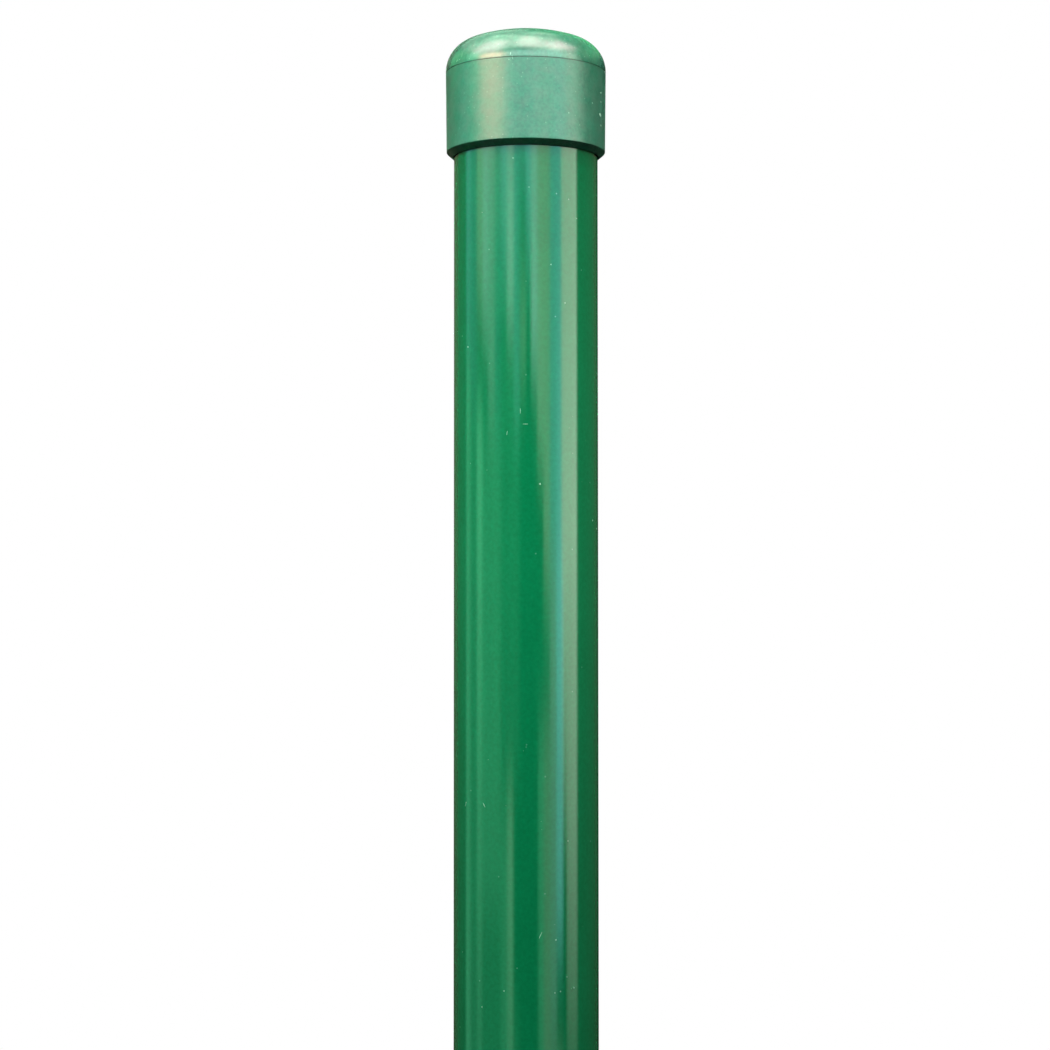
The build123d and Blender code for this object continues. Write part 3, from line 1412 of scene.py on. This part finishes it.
@dataclass(frozen=True)
class SoftLamp:
    """A soft area lamp, by its direction from the point that it faces, which gloss doesn't show."""

    name: str
    azimuth_deg: float
    elevation_deg: float
    distance: float
    aim: tuple[float, float, float]
    width: float
    height: float
    power: float
    colour: Colour = (1.0, 1.0, 1.0)
    spread_deg: float = 180.0

    def build(self, receivers: bpy.types.Collection | None) -> None:
        """Makes the lamp.

        Args:
            receivers: what it lights, or None for everything.
        """
        light = bpy.data.lights.new(self.name, "AREA")
        light.shape = "ELLIPSE"
        light.size = self.width
        light.size_y = self.height
        light.energy = self.power
        light.color = self.colour
        light.spread = math.radians(self.spread_deg)
        azimuth, elevation = math.radians(self.azimuth_deg), math.radians(self.elevation_deg)
        level = math.cos(elevation)
        away = Vector((math.sin(azimuth) * level, -math.cos(azimuth) * level, math.sin(elevation)))
        lamp = bpy.data.objects.new(self.name, light)
        lamp.location = Vector(self.aim) + away * self.distance
        lamp.rotation_euler = away.to_track_quat("Z", "Y").to_euler()
        lamp.visible_camera = False
        lamp.visible_glossy = False
        bpy.context.scene.collection.objects.link(lamp)
        if receivers is not None:
            lamp.light_linking.receiver_collection = receivers


@dataclass
class Studio:
    """Floor, sky, lamps and reflected cards."""

    cards: list[ReflectedCard]
    post_lamps: list[SoftLamp]
    room_lamps: list[SoftLamp]
    floor_radius: float = 7.0
    floor_drop: float = 0.5 * MM
    white_from: float = 1.2
    white_at: float = 4.5
    floor_colour: Colour = (0.62, 0.62, 0.61)
    floor_bounce: Colour = (0.02, 0.02, 0.02)
    sky: Colour = (1.64, 1.67, 1.69)
    sky_full_at: float = 0.8
    gloss_sky: Colour = (0.1, 0.1, 0.1)

    def build(self, pieces: list[Object]) -> None:
        """Builds the whole studio.

        Args:
            pieces: the post's pieces, which the close lamps light alone.
        """
        self.build_floor()
        self.build_sky()
        ReflectedSurround(self.cards).build()
        post = bpy.data.collections.new("post_pieces")
        for piece in pieces:
            post.objects.link(piece)
        for lamp in self.post_lamps:
            lamp.build(post)
        for lamp in self.room_lamps:
            lamp.build(None)

    def build_floor(self) -> None:
        """Makes a pale round floor, clear from below, white far out, that keeps the post's shadow."""
        disc = bmesh.new()
        bmesh.ops.create_circle(disc, cap_ends=True, segments=96, radius=self.floor_radius)
        bmesh.ops.translate(disc, verts=disc.verts, vec=(0.0, 0.0, -self.floor_drop))
        mesh = bpy.data.meshes.new("floor")
        disc.to_mesh(mesh)
        disc.free()
        floor = link_object("floor", mesh)
        material, sketch = new_material("pale_floor")
        place = sketch.place()
        away = sketch.vector("LENGTH", place, key="Value")
        faded = sketch.span(away, self.white_from, self.white_at)
        pale = sketch.out("ShaderNodeBsdfDiffuse", {"Color": (*self.floor_colour, 1.0)})
        white = sketch.out("ShaderNodeEmission", {"Color": (1.0, 1.0, 1.0, 1.0), "Strength": 1.0})
        seen = sketch.out("ShaderNodeMixShader", {0: faded, 1: pale, 2: white})
        bounce = sketch.out("ShaderNodeBsdfDiffuse", {"Color": (*self.floor_bounce, 1.0)})
        camera_ray = sketch.out("ShaderNodeLightPath", key="Is Camera Ray")
        above = sketch.out("ShaderNodeMixShader", {0: camera_ray, 1: bounce, 2: seen})
        from_below = sketch.out("ShaderNodeNewGeometry", key="Backfacing")
        clear = sketch.out("ShaderNodeBsdfTransparent")
        shader = sketch.out("ShaderNodeMixShader", {0: from_below, 1: above, 2: clear})
        sketch.node("ShaderNodeOutputMaterial", {"Surface": shader})
        material.cycles.emission_sampling = "NONE"
        mesh.materials.append(material)
        floor.visible_shadow = False

    def build_sky(self) -> None:
        """Makes the world: white behind the post, soft light from above, and a dim room in gloss."""
        world = bpy.data.worlds.new("soft_sky")
        world.use_nodes = True
        world.node_tree.nodes.clear()
        world.cycles.sampling_method = "NONE"
        sketch = TreeSketch(world.node_tree)
        path = sketch.node("ShaderNodeLightPath").outputs
        direction = sketch.out("ShaderNodeTexCoord", key="Generated")
        axes = sketch.node("ShaderNodeSeparateXYZ", {0: direction}).outputs
        height = sketch.span(axes["Z"], 0.0, self.sky_full_at)
        soft = sketch.blend(height, (0.0, 0.0, 0.0), self.sky)
        lit = sketch.blend(path["Is Diffuse Ray"], self.gloss_sky, soft)
        shown = sketch.blend(path["Is Camera Ray"], lit, (1.0, 1.0, 1.0))
        shader = sketch.out("ShaderNodeBackground", {"Color": shown, "Strength": 1.0})
        sketch.node("ShaderNodeOutputWorld", {"Surface": shader})
        bpy.context.scene.world = world


def tall_cards() -> list[ReflectedCard]:
    """Lists the cards that the upper tube shows, which stand up to the cap's own, from its left to its right.

    Returns:
        The cards.
    """
    return [
        ReflectedCard(left, right, foot, TALL_CARD_HEAD, tint, foot_glow, head_glow, head_fade=CLOSE_FADE)
        for left, right, foot, tint, foot_glow, head_glow in (
            (-165, -138, 0.9, Tint.SAND, 0.06, 0.2),
            (-138, -112, 0.9, Tint.SAND, 0.05, 0.12),
            (-110, -98, 1.58, Tint.ICE, 1.2, 2.2),
            (-98, -84, 1.54, Tint.ICE, 0.9, 1.4),
            (-84, -73, 1.62, Tint.CREAM, 2.0, 3.2),
            (-73, -62, 1.60, Tint.FROST, 3.5, 4.4),
            (-62, -50, 1.52, Tint.FROST, 1.8, 3.6),
            (-50, -40, 1.50, Tint.ICE, 0.7, 1.9),
            (-40, -30, 1.64, Tint.ICE, 2.2, 4.4),
            (-30, -19, 1.61, Tint.FROST, 5.5, 4.0),
            (-19, -10, 1.52, Tint.ICE, 1.8, 2.8),
            (-10, 0, 1.71, Tint.ICE, 1.0, 3.4),
            (0, 8, 1.65, Tint.ICE, 2.5, 4.8),
            (8, 18, 1.57, Tint.FROST, 5.0, 4.4),
            (18, 28, 1.49, Tint.CREAM, 3.4, 3.2),
            (28, 38, 1.38, Tint.CREAM, 2.6, 3.2),
            (38, 49, 1.40, Tint.ICE, 3.2, 3.2),
            (49, 58, 1.40, Tint.ICE, 5.2, 3.4),
            (58, 88, 1.40, Tint.DAYLIGHT, 6.4, 5.0),
            (92, 128, 0.9, Tint.SAND, 0.05, 0.12),
            (128, 155, 0.9, Tint.SAND, 0.04, 0.13),
        )
    ]


def low_cards() -> list[ReflectedCard]:
    """Lists the shorter cards under the tall ones, from the post's left to its right.

    Returns:
        The cards.
    """
    card = ReflectedCard
    return [
        card(-110, -98, 0.0, 1.58, Tint.MINT, 0.6, 2.0),
        card(-98, -84, 0.0, 1.54, Tint.MINT, 0.4, 0.9),
        card(-84, -73, 0.0, 0.9, Tint.MINT, 1.0, 1.0),
        card(-84, -73, 0.9, 1.54, Tint.MINT, 1.0, 4.2),
        card(-73, -40, 0.0, 1.1, Tint.MINT, 0.6, 0.6),
        card(-73, -40, 1.1, 1.52, Tint.MINT, 1.6, 1.6),
        card(-40, -10, 1.2, 1.6, Tint.MINT, 0.5, 0.7),
        card(-40, -20, 0.0, 1.2, Tint.MINT, 0.8, 1.5),
        card(-30, -20, 0.86, 1.2, Tint.CREAM, 0.3, 1.4),
        card(-20, -10, 0.0, 1.0, Tint.MINT, 0.6, 0.6),
        card(-9, 0, 1.56, 1.65, Tint.CREAM, 1.9, 1.9),
        card(19, 28, 0.0, 1.26, Tint.MINT, 0.0, 2.2),
        card(28, 38, 0.0, 1.26, Tint.CREAM, 1.0, 1.6),
        card(28, 38, 1.26, 1.38, Tint.MINT, 0.4, 1.0),
        card(38, 60, 0.0, 0.96, Tint.CREAM, 1.8, 1.8),
        card(38, 49, 0.98, 1.4, Tint.FROST, 1.6, 2.8),
        card(49, 60, 1.06, 1.4, Tint.ICE, 3.4, 6.4),
        card(60, 86, 0.0, 0.94, Tint.CREAM, 0.4, 0.4),
        card(67, 88, 0.94, 1.4, Tint.DAYLIGHT, 0.4, 5.6),
        card(59, 67, 1.14, 1.4, Tint.DAYLIGHT, 0.6, 6.0),
    ]


def skirt_cards() -> list[ReflectedCard]:
    """Lists the cards above the tall ones, which the cap's skirt shows, from its left to its right.

    Returns:
        The cards.
    """
    return [
        ReflectedCard(
            left, right, SKIRT_CARD_FOOT, head, tint, glow, glow,
            SKIRT_SIDE_FADE, CLOSE_FADE, SKIRT_HEAD_FADE,
        )
        for left, right, head, tint, glow in (
            (-176, -136, 2.4, Tint.SAND, 0.2),
            (-136, -94, 2.4, Tint.LEAF, 2.4),
            (-94, -68, 2.3, Tint.MINT, 10.0),
            (-68, -32, 2.1, Tint.SAND, 34.0),
            (-54, -16, 2.2, Tint.CREAM, 6.0),
            (-30, 55, 2.3, Tint.FROST, 10.0),
            (-10, 75, 2.1, Tint.CREAM, 5.0),
            (55, 80, 2.4, Tint.DAYLIGHT, 7.0),
            (78, 128, 2.5, Tint.LEAF, 0.9),
        )
    ]


def dome_cards() -> list[ReflectedCard]:
    """Lists the cards high on the wall and on the ceiling, which the cap's dome shows.

    Returns:
        The cards.
    """
    return [
        ReflectedCard(left, right, foot, head, tint, glow, glow, DOME_SIDE_FADE, DOME_FADE, DOME_FADE)
        for left, right, foot, head, tint, glow in (
            (-197, -122, 2.5, 4.4, Tint.CREAM, 1.5),
            (-115, -20, 2.4, 2.7, Tint.CREAM, 4.5),
            (-120, -75, 2.7, 3.3, Tint.CREAM, 5.5),
            (-85, -40, 2.2, 3.4, Tint.BLUSH, 12.0),
            (-65, 20, 2.6, 3.3, Tint.DAYLIGHT, 7.5),
            (14, 62, 2.3, 3.0, Tint.DAYLIGHT, 8.5),
            (40, 88, 2.5, 3.3, Tint.BLUSH, 12.5),
            (80, 176, 2.1, 3.5, Tint.LEAF, 1.0),
            (-20, 45, 2.8, 4.4, Tint.BLUSH, 11.0),
            (-140, 104, 3.3, 4.4, Tint.CREAM, 7.0),
            (130, 197, 3.3, 4.4, Tint.CREAM, 4.0),
        )
    ]


def room_lamps() -> list[SoftLamp]:
    """Lists the soft lamp that lights the post and the floor."""
    return [SoftLamp("broad_fill", -20.0, 46.0, 2.4, (0.0, 0.0, 1.15), 1.2, 0.8, 18.5)]


def post_lamps(dome: tuple[float, float, float]) -> list[SoftLamp]:
    """Lists the soft lamps that light the post alone: at its sides, high over the cap and under the foot.

    Args:
        dome: the point on the cap that the highest ones face.

    Returns:
        The lamps.
    """
    upper = (0.0, 0.0, 1.395)
    return [
        SoftLamp("left_key", -60.0, 43.0, 1.4, upper, 0.1, 0.1, 0.035, spread_deg=8.6),
        SoftLamp("right_key", 50.0, 43.0, 1.4, upper, 0.1, 0.1, 0.030, spread_deg=8.6),
        SoftLamp("left_top_lamp", -60.0, 48.0, 1.1, dome, 0.22, 0.26, 0.050, (1.0, 0.86, 0.80), 16.0),
        SoftLamp("middle_top_lamp", 8.0, 62.0, 1.1, dome, 0.34, 0.20, 0.090, (1.0, 0.98, 0.96), 22.0),
        SoftLamp("right_top_lamp", 40.0, 46.0, 1.1, dome, 0.20, 0.20, 0.012, (1.0, 0.97, 0.94), 16.0),
        SoftLamp("foot_lamp", 0.0, -85.0, 0.5, (0.0, 0.0, 0.0), 0.1, 0.1, 0.0065, spread_deg=12.0),
    ]


def tube_marks() -> list[SkinMark]:
    """Lists the flecks and scratches on the tube that the photograph shows.

    Returns:
        The marks.
    """
    mark = SkinMark
    long_mark, thin = 1.4 * MM, 0.16 * MM
    return [
        mark(529.0, 187.0), mark(556.5, 193.6), mark(568.6, 199.4), mark(576.6, 218.5), mark(551.0, 264.5),
        mark(565.0, 303.0, 0.5 * MM), mark(555.4, 316.5), mark(468.0, 347.0), mark(513.0, 158.0),
        mark(540.0, 484.0, 0.5 * MM, 0.5 * MM), mark(592.7, 520.5, 0.5 * MM), mark(596.7, 528.5, 0.5 * MM),
        mark(568.0, 841.0), mark(556.0, 940.0, 0.45 * MM, 0.45 * MM), mark(567.0, 977.0),
        mark(574.0, 988.0, 0.5 * MM),
        mark(560.5, 991.5), mark(504.0, 991.0), mark(555.0, 993.0, 0.45 * MM), mark(482.0, 1007.0, 0.45 * MM),
        mark(597.3, 374.0, 0.9 * MM, 0.3 * MM),
        mark(520.4, 411.0, long_mark, thin), mark(525.5, 424.0, long_mark, thin, 90.0),
        mark(507.0, 433.0, long_mark * 0.8, thin, 10.0), mark(465.8, 804.0, long_mark, thin, 20.0),
        mark(484.0, 805.0, long_mark, thin, -30.0), mark(540.5, 935.5, long_mark * 1.3, thin, 25.0),
    ]


def cap_marks() -> list[SkinMark]:
    """Lists the scuffs and flecks on the cap that the photograph shows.

    Returns:
        The marks.
    """
    mark = SkinMark
    small, long_mark, thin, edge_wide = 0.24 * MM, 0.85 * MM, 0.14 * MM, 0.9 * MM
    return [
        mark(510.5, 53.5, long_mark, thin, 8.0), mark(512.5, 58.0, long_mark * 0.8, thin, -12.0),
        mark(509.0, 59.5, small, small), mark(457.0, 61.0, long_mark, thin, 50.0),
        mark(459.5, 59.5, small, small),
        mark(600.3, 115.0, 1.0 * MM, 1.3 * MM, 8.0), mark(600.9, 93.0, 0.45 * MM, edge_wide),
        mark(600.9, 102.0, 0.45 * MM, edge_wide), mark(592.4, 103.0, 0.4 * MM, 0.45 * MM),
        mark(600.9, 125.5, 0.45 * MM, edge_wide), mark(604.5, 72.5, 0.6 * MM, edge_wide),
        mark(448.0, 119.0, 0.4 * MM, edge_wide), mark(568.8, 112.7, 0.45 * MM, small),
    ]


def corners(box: tuple[Vector, Vector]) -> list[list[float]]:
    """A box as plain lists of numbers."""
    return [list(corner) for corner in box]


def main() -> None:
    """Builds the post and the studio."""
    logging.basicConfig(level=logging.INFO, format="%(name)s: %(message)s")
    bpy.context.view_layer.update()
    scene = bpy.context.scene
    scene.view_settings.view_transform = "Standard"

    tube_low, tube_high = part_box("post_tube")
    cap_low, cap_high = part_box("post_cap")
    tube = CoatedTube(tube_low.z, tube_high.z, tube_high.x, marks=tube_marks())
    cap = MouldedCap(cap_low.z, cap_high.z, cap_high.x, tube.radius, tube.bore, tube.top, marks=cap_marks())
    camera = PhotoCamera()
    camera.build(cap.rim_edge)

    effects = SurfaceEffects()
    trees = ShapeTrees()
    coating = GlossyCoating().material(effects)
    plastic = SatinPlastic(cap.parting).material(effects)
    zinc = ZincSkin().material(effects)
    coating_chalk = ChalkMark("coating_mark", (0.26, 0.52, 0.37), (0.10, 0.36, 0.22)).material(effects)
    nib_skin = ChalkMark("nib_skin", (0.06, 0.26, 0.14), (0.01, 0.18, 0.07)).material(effects)
    cap_chalk = ChalkMark("cap_mark", (0.42, 0.62, 0.49), (0.20, 0.42, 0.30)).material(effects)

    coated_tube = tube.build(trees, coating, zinc)
    pieces = [
        coated_tube,
        tube.build_nibs(coated_tube, cap.rim, trees, nib_skin),
        tube.build_marks(camera, cap.rim_edge, coating_chalk),
        cap.build(trees, plastic),
        cap.build_marks(camera, cap_chalk),
    ]
    for piece in pieces:
        log.info("%s: %d faces", piece.name, len(piece.data.polygons))

    dome = (0.0, -cap.tube_radius, cap.corner)
    cards = [*tall_cards(), *low_cards(), *skirt_cards(), *dome_cards()]
    Studio(cards, post_lamps(dome), room_lamps()).build(pieces)


if __name__ == "__main__":
    main()
